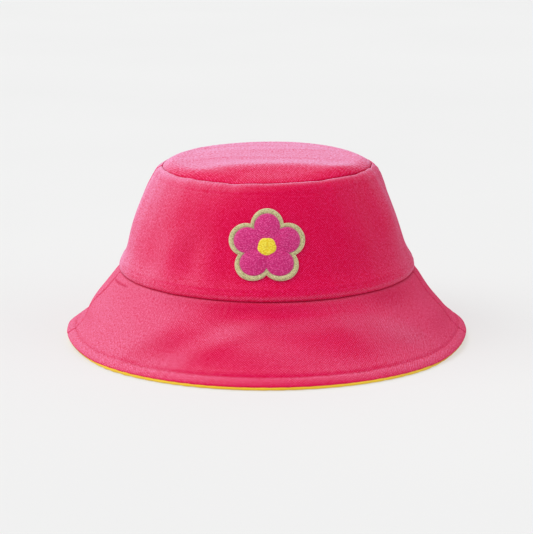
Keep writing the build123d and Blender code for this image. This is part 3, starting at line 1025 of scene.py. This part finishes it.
def stitch_grid(count):
    """Stitch number, share of the stitch's length (-0.5 to 0.5) and turn, for every point."""
    return np.meshgrid(
        np.arange(count), np.linspace(-0.5, 0.5, RINGS), np.linspace(0, 2 * PI, SIDES + 1)[:-1],
        indexing="ij",
    )


def stitch_row(count, pitch, gap, radius, sunk):
    """Place along a row, height and sideways place of every point of a row of stitches."""
    number, share, turn = stitch_grid(count)
    swell = np.clip(np.sin(PI * (share + 0.5)), 0, 1) ** 0.4
    thick = radius * np.where(np.abs(share) > 0.49, 0.25, swell)
    along = (number + 0.5) * pitch + share * (pitch - gap)
    height = radius * 0.8 * np.cos(share * PI) - sunk + thick * np.sin(turn)
    return along, height, thick * np.cos(turn)


def stitch_sides(start):
    faces = []
    for i in range(RINGS - 1):
        low = start + i * SIDES
        high = low + SIDES
        for j in range(SIDES):
            j2 = (j + 1) % SIDES
            faces.append((low + j, low + j2, high + j2, high + j))
    return faces


def closed_stitches(count):
    """Faces of separate stitches, each end closed by two quads."""
    faces = []
    for start in range(0, count * STITCH_POINTS, STITCH_POINTS):
        faces += stitch_sides(start)
        for end in (start, start + STITCH_POINTS - SIDES):
            faces += [(end, end + 1, end + 2, end + 3), (end, end + 3, end + 4, end + 5)]
    return faces


def ring_stitches(name, node, thread, curve, run, offset, length=2.5, gap=0.7, radius=0.22,
                  sunk=0.06, outward=1.0, hinged=False):
    """A ring of stitches at one run of a profile, offset from it."""
    r, z, normal_r, normal_z = (float(value) for value in curve.at(run, offset))
    total = 2 * PI * r
    count = max(int(total / (length + gap)), 1)
    along, height, side = stitch_row(count, total / count, gap, radius, sunk)
    number = np.arange(count)[:, None, None]
    side = side + 0.04 * np.sin(number * 12.9898) + 0.03 * np.sin(number * 4.1)
    height, side, angle = height * outward, side * outward, along / r
    radii = r + height * normal_r + side * normal_z
    heights = z + height * normal_z - side * normal_r
    tubes = np.stack([radii * np.cos(angle), radii * np.sin(angle), heights], 3)
    faces = [q for k in range(count) for q in stitch_sides(k * STITCH_POINTS)]
    points, all_radii = [tubes.reshape(-1, 3)], [radii.ravel()]
    # both ends of every stitch are closed with quads round a new point
    starts = np.arange(count) * STITCH_POINTS
    centres = count * STITCH_POINTS + np.arange(count)
    for ring in (0, RINGS - 1):
        points.append(tubes[:, ring].mean(1))
        all_radii.append(radii[:, ring].mean(1))
        base = starts + ring * SIDES
        for j in range(0, SIDES - 1, 2):
            end = [base + j, base + j + 1, base + (j + 2) % SIDES, centres]
            faces.extend(np.stack(end, 1))
        centres = centres + count
    obj = make_object(name, sag(np.vstack(points)), faces)
    dress(obj, node, thread, radii=np.concatenate(all_radii) if hinged else None)


def line_stitches(name, node, curve, start, end, offset, angles, radius, sunk, gap=0.7,
                  length=2.5, hinged=False):
    """Rows of pink stitches running along a profile at given angles."""
    count = int((end - start) / (length + gap))
    along, height, side = stitch_row(count, (end - start) / count, gap, radius, sunk)
    r, z, normal_r, normal_z = curve.at(start + along, offset)
    r, z = r + height * normal_r, z + height * normal_z
    points = np.concatenate([
        np.stack([
            r * math.cos(angle) - math.sin(angle) * side,
            r * math.sin(angle) + math.cos(angle) * side,
            z,
        ], 3).reshape(-1, 3)
        for angle in angles
    ])
    obj = make_object(name, sag(points), closed_stitches(count * len(angles)))
    dress(obj, node, PINK_THREAD, radii=np.tile(r.ravel(), len(angles)) if hinged else None)


# short lines of the hidden seams inside the plies
head_seam = Curve([
    (HEAD_RADIUS - 4.7, HEAD_Z - 2.2), (HEAD_RADIUS - 4.6, HEAD_Z - 1.2),
    (HEAD_RADIUS - 4.5, HEAD_Z - 0.2),
])
tip_seam = Curve([(TIP_RADIUS - 0.7, 98.5), (TIP_RADIUS - 0.6, 99.2), (TIP_RADIUS - 0.5, 99.9)])

ring_stitches("brim_edge_stitching", "brim_edge_topstitch", PINK_THREAD,
              brim, brim.length - HEM, -0.34, hinged=True)
ring_stitches("brim_underside_stitching", "underbrim_topstitch", YELLOW_THREAD,
              inner_brim, inner_brim.length - HEM, -2.62, outward=-1.0, hinged=True)
ring_stitches("band_edge_stitching", "band_lower_topstitch", PINK_THREAD,
              wall, wall.run_at_z(HEAD_Z + 4.4, 5.0), -0.22,
              length=2.3, gap=0.9, radius=0.17, sunk=0.10)
ring_stitches("sweatband_stitching", "sweatband_topstitch", YELLOW_THREAD,
              inner_wall, SWEATBAND_HEIGHT - SWEATBAND_HEM, -3.95, outward=-1.0)
ring_stitches("head_seam_stitching", "head_seam_stitches", PINK_THREAD,
              head_seam, 1.0, 0.0, length=2.3, gap=0.6, radius=0.24, outward=-1.0)
ring_stitches("tip_seam_stitching", "tip_seam_stitches", PINK_THREAD,
              tip_seam, 0.7, 0.0, length=2.3, gap=0.6, radius=0.2, outward=-1.0)

beside_seam = 1.9 / 100.0            # 1.9 mm at a radius of 100 mm, radians
line_stitches(
    "brim_side_seam_stitching", "brim_side_seam_stitches",
    brim, 2.5, brim.length - HEM - 1.2, -0.05,
    angles=(BRIM_ARCS["front"][0] + beside_seam, BRIM_ARCS["front"][1] - beside_seam),
    radius=0.2, sunk=0.12, hinged=True,
)
line_stitches(
    "band_side_seam_stitching", "band_side_seam_stitches",
    inner_wall, 10.0, 52.0, -1.75, angles=(0.0, PI), radius=0.16, sunk=0.08,
)

# ---------------------------------------------------------------- flower patch
PATCH_RUN = wall.run_at_z(69.0, 6.0)
PATCH_RADIUS = float(wall.at(PATCH_RUN)[0])
# distances from the centre to a petal's tip and to the notch between two petals
PETAL_TIP, PETAL_NOTCH = 18.6, 12.0
PATCH_TIP, PATCH_NOTCH = 21.6, 15.8
OUTLINE_ANGLES = np.linspace(0, 2 * PI, 361)[:-1]


def on_wall(across, up, height):
    """Patch coordinates and height above the band to space, before the sag."""
    r, z, _, _ = wall.at(PATCH_RUN + 0.55 + 0.985 * up, height)
    angle = -PI / 2 + 1.03 * across / PATCH_RADIUS
    return np.stack([r * np.cos(angle), r * np.sin(angle), z], -1)


def flower(tip_distance, notch_distance):
    """Outline of five arcs with a petal straight up: a function from angle to radius."""
    notch_x = notch_distance * math.cos(PI / 5)
    notch_y = notch_distance * math.sin(PI / 5)
    arc_centre = (tip_distance**2 - notch_x**2 - notch_y**2) / (2 * (tip_distance - notch_x))
    arc_radius = tip_distance - arc_centre

    def outline(phi):
        a = (phi - PI / 2 + PI / 5) % (2 * PI / 5) - PI / 5
        square = np.maximum(arc_radius**2 - (arc_centre * np.sin(a)) ** 2, 0)
        return arc_centre * np.cos(a) + np.sqrt(square)

    return outline


def cushion(name, node, look, outline, shares, height, base):
    """A cushion over an outline: height(share, phi) above the band, closed underneath at base.

    shares are its rings from the centre (0) to the outline (1).
    """
    share, phi = np.meshgrid(shares, OUTLINE_ANGLES, indexing="ij")
    low_share, low_phi = np.meshgrid([1.0, 0.5, 0.0], OUTLINE_ANGLES, indexing="ij")
    low_r = low_share * outline(low_phi) * np.where(low_share > 0.9, 0.985, 1.0)
    r = np.vstack([share * outline(phi), low_r])
    heights = np.vstack([height(share, phi), np.full(low_share.shape, base)])
    phi = np.vstack([phi, low_phi])
    across, up = (r * np.cos(phi)).ravel(), (r * np.sin(phi)).ravel()
    faces, _, _ = grid_faces(len(shares) + 3, len(OUTLINE_ANGLES))
    uvs = np.stack([across, up], 1) * MM
    points = sag(on_wall(across, up, heights.ravel()))
    obj = make_object(name, points, faces, uvs[faces.ravel()], merge=MERGE)
    dress(obj, node, look)


def petal_height(share, phi):
    lobe = 0.5 + 0.5 * np.cos(5 * (phi - PI / 2))    # 1 on a petal's middle, 0 at the notches
    edge = np.clip(1 - share**7, 0, 1) ** 0.5
    body = 1.15 + 0.75 * lobe * np.sin(PI * np.clip(share, 0, 1)) ** 1.2
    body = body + 0.15 * (1 - lobe) * (1 - share)
    valley = -0.05 * (1 - lobe) ** 6 * smooth(share, 0.25, 0.6)
    grain = 0.035 * stitch_grain(phi, share * 9.0) * (share > 0.05)
    return 0.96 + (body + valley) * edge * 0.95 + grain * edge


def centre_outline(phi):
    ripple = 0.014 * np.cos(4 * (phi - 0.80)) + 0.010 * np.cos(3 * phi + 1.0)
    return 5.05 * (1 + ripple + 0.006 * np.cos(9 * phi))


def centre_height(share, phi):
    edge = np.clip(1 - share**9, 0, 1) ** 0.5
    grain = 0.04 * stitch_grain(phi * 0.5, share * 5.0) * edge * (share > 0.05)
    return 1.9 + edge * (0.85 + 0.18 * (1 - share**2)) + grain


# rings crowd together where the cushions round off
PETAL_SHARES = np.r_[
    np.linspace(0, 0.80, 30), 0.84, 0.88, 0.91, 0.935, 0.955, 0.97, 0.982, 0.991, 0.997, 1.0
]
CENTRE_SHARES = np.r_[np.linspace(0, 0.85, 16), 0.9, 0.94, 0.965, 0.985, 0.995, 1.0]
cushion("patch_flower_face", "patch_petals", PETALS, flower(PETAL_TIP, PETAL_NOTCH),
        PETAL_SHARES, petal_height, base=0.95)
cushion("patch_flower_centre", "patch_centre", CENTRE, centre_outline,
        CENTRE_SHARES, centre_height, base=1.55)
cushion("patch_backing", "patch_base", BACKING, flower(PATCH_TIP - 0.7, PATCH_NOTCH - 0.7),
        np.linspace(0, 1, 10), lambda share, phi: np.full(share.shape, 0.9), base=0.28)
cushion("patch_glue_film", "patch_adhesive", FILM, flower(PATCH_TIP - 1.1, PATCH_NOTCH - 1.1),
        np.linspace(0, 1, 8), lambda share, phi: np.full(share.shape, 0.2), base=0.07)


def patch_border():
    """Overlocked edge: a low rounded band round the outline, with its threads as fine ribs."""
    count = 1080
    phi = np.linspace(0, 2 * PI, count + 1)
    r = flower(PATCH_TIP, PATCH_NOTCH)(phi)
    x, y = r * np.cos(phi), r * np.sin(phi)
    # points at even steps along the outline
    lengths = np.r_[0, np.cumsum(np.hypot(np.diff(x), np.diff(y)))]
    total = lengths[-1]
    place = np.linspace(0, total, count + 1)[:-1]
    outer = np.stack([np.interp(place, lengths, x), np.interp(place, lengths, y)])
    # the inner line lies just inside the petals' outline, at the same angles
    phi = np.arctan2(outer[1], outer[0])
    r = flower(PETAL_TIP - 0.15, PETAL_NOTCH - 0.15)(phi)
    inner = np.stack([r * np.cos(phi), r * np.sin(phi)])
    ribs = round(total / 0.78)
    # lines round the border: share from outer to inner edge, height, place across the UV map
    lines = []
    for share in np.linspace(0, 1, 17):
        dome = (1 - abs(2 * share - 1) ** 2.6) ** 0.6
        rib = 0.5 + 0.5 * np.cos(2 * PI * (ribs * place / total + 0.35 * share))
        lines.append((share, 0.42 + dome * (0.98 + 0.12 * rib), share * 3.0))
    for share, height in ((1.0, 0.93), (0.5, 0.92), (0.04, 0.25)):
        lines.append((share, np.full(count, height), 3.0 + (1 - share) * 3.0))
    points, uvs = [], []
    for share, height, across in lines:
        points.append(on_wall(*(outer + (inner - outer) * share), height))
        uvs.append(np.stack([place, np.full(count, across)], 1))
    faces, _, j = grid_faces(len(lines), count, wrap_rows=True)
    loops = (np.vstack(uvs) * MM)[faces.ravel()].reshape(-1, 4, 2)
    loops[j == count - 1, 2:, 0] += total * MM
    obj = make_object(
        "patch_overlock_border", sag(np.vstack(points)), faces, loops.reshape(-1, 2)
    )
    dress(obj, "patch_border", BORDER)


patch_border()

# ---------------------------------------------------------------- care label
LABEL_DROP = 17.0                    # length of the folded strip
LABEL_HALF_WIDTH = 10.0
LABEL_PLY_OFFSET = 0.30              # middle of a ply from the middle of the label
LABEL_HALF_THICK = 0.13
FOLD_START, FOLD_END = 0.46, 0.54    # shares of the strip where the fold begins and ends
HINGE_Y, HINGE_Z = (value * 1000 for value in joint("label_lift")["pos_m"][1:3])
LABEL_LEAN = math.acos(min(1.0, (HINGE_Z - box_mm("care_label")[0][2]) / LABEL_DROP))


def lean_label(x, y, z):
    """Turns label points, given from the hinge, by the label's lean and moves them there."""
    cosine, sine = math.cos(LABEL_LEAN), math.sin(LABEL_LEAN)
    points = [x, HINGE_Y + y * cosine - z * sine, HINGE_Z + y * sine + z * cosine]
    return np.stack(points, -1).reshape(-1, 3)


def label_line(shares):
    """Middle line (y, z) of the strip: down the back ply, round the fold, up the front ply."""
    straight = LABEL_DROP - 0.5
    line = []
    for share in shares:
        if share < FOLD_START:
            line.append((LABEL_PLY_OFFSET, -share / FOLD_START * straight))
        elif share > FOLD_END:
            line.append((-LABEL_PLY_OFFSET, -(1 - share) / FOLD_START * straight))
        else:
            turn = (share - FOLD_START) / 0.08 * PI
            line.append((LABEL_PLY_OFFSET * math.cos(turn), -straight - 0.35 * math.sin(turn)))
    return np.array(line)


def care_label():
    shares = np.linspace(0, 1, 40)
    line = label_line(shares)
    tangent = np.gradient(line, axis=0)
    normal = np.stack([-tangent[:, 1], tangent[:, 0]], 1)
    normal /= np.linalg.norm(normal, axis=1, keepdims=True)
    thick = normal * LABEL_HALF_THICK
    section = np.vstack([line + thick, (line - thick)[::-1]])
    columns = np.linspace(-LABEL_HALF_WIDTH, LABEL_HALF_WIDTH, 25)
    rows, size = len(columns), len(section)
    x = np.repeat(columns, size)
    y, z = np.tile(section, (rows, 1)).T
    curl = 0.12 * (x / LABEL_HALF_WIDTH) ** 2 * (z / LABEL_DROP)
    points = lean_label(x, y + curl + 0.05 * np.sin(x * 0.7 + z * 0.4), z)
    # its top edge stays on the hinge, and below that it follows the sweatband
    hang = smooth(HINGE_Z - points[:, 2], 1.0, 5.0)[:, None]
    points = points + hang * (sag(points) - points) - hang * np.array([0.0, 0.15, 0.0])
    faces = np.vstack([grid_faces(rows, size)[0], end_strips(rows, size)])
    along = np.tile(np.r_[shares, shares[::-1]] * 2 * LABEL_DROP, rows)
    uvs = np.stack([x, along], 1) * MM
    obj = make_object("care_label_loop", points, faces, uvs[faces.ravel()])
    dress(obj, "care_label", LABEL, body="label_flap")


def label_stitches():
    """A bar of stitches just above the label's hinge."""
    count, bar, length = 7, 18.0, 1.9
    number, share, turn = stitch_grid(count)
    thick = 0.2 * np.maximum(np.sin(PI * (share + 0.5)), 0.05) ** 0.4
    x = -bar / 2 + bar * (number + 0.5) / count + share * length
    y = -0.12 * np.cos(share * PI) + thick * np.cos(turn)
    points = lean_label(x, y, 0.73 + thick * np.sin(turn))
    obj = make_object("care_label_stitching", points, closed_stitches(count))
    dress(obj, "label_stitches", YELLOW_THREAD)


care_label()
label_stitches()


# ---------------------------------------------------------------- stage, light, camera
def floor_material():
    """A lit table: part of its light is its own, so the shadow stays pale."""
    net = Net("studio_floor")
    dust = net.noise(net.place(), 3.0)
    colour = net.ramp(dust, (0.3, (0.330, 0.333, 0.332)), (0.7, (0.344, 0.347, 0.346)))
    return net.surface({
        "Base Color": colour,
        "Roughness": 0.9,
        "Specular IOR Level": 0.0,
        "Emission Color": (1.0, 1.0, 1.0),
        "Emission Strength": 0.522,
    })


def sun(name, elevation, azimuth, strength, angle, colour=(1, 1, 1)):
    """A large soft source. azimuth: degrees from the front, positive towards -X (left)."""
    light = bpy.data.lights.new(name, "SUN")
    light.energy = strength
    light.angle = math.radians(angle)
    light.color = colour
    obj = bpy.data.objects.new(name, light)
    bpy.context.scene.collection.objects.link(obj)
    up, round_z = math.radians(elevation), math.radians(azimuth)
    towards = Vector((
        -math.cos(up) * math.sin(round_z), -math.cos(up) * math.cos(round_z), math.sin(up)
    ))
    obj.rotation_euler = towards.to_track_quat("Z", "Y").to_euler()


bpy.ops.mesh.primitive_plane_add(size=60.0, location=(0, 20.0, -0.0002))
floor = bpy.context.object
floor.name = "floor"
floor.data.materials.append(floor_material())

scene = bpy.context.scene
scene.world = bpy.data.worlds.new("studio")
scene.world.use_nodes = True
background = scene.world.node_tree.nodes["Background"]
background.inputs["Color"].default_value = (0.985, 0.99, 1.0, 1.0)
background.inputs["Strength"].default_value = 0.334

WARM = (1.0, 0.99, 0.98)
sun("key_left", elevation=60, azimuth=52, strength=1.573, angle=48, colour=WARM)
sun("fill_left", elevation=35, azimuth=85, strength=0.779, angle=40, colour=WARM)
sun("fill_right", elevation=35, azimuth=-80, strength=0.54, angle=40)
sun("fill_back", elevation=45, azimuth=180, strength=0.258, angle=50)

camera_data = bpy.data.cameras.new("camera")
camera = bpy.data.objects.new("camera", camera_data)
scene.collection.objects.link(camera)
camera.location = (0, -1.1, 0.30912)
camera.rotation_euler = (math.radians(90 - 13.78), 0, 0)     # looks 13.78 degrees down
camera_data.sensor_width = 36.0
camera_data.lens = 129.17
camera_data.clip_start = 0.05
camera_data.clip_end = 60
scene.camera = camera
scene.view_settings.view_transform = "Standard"
scene.view_settings.look = "None"
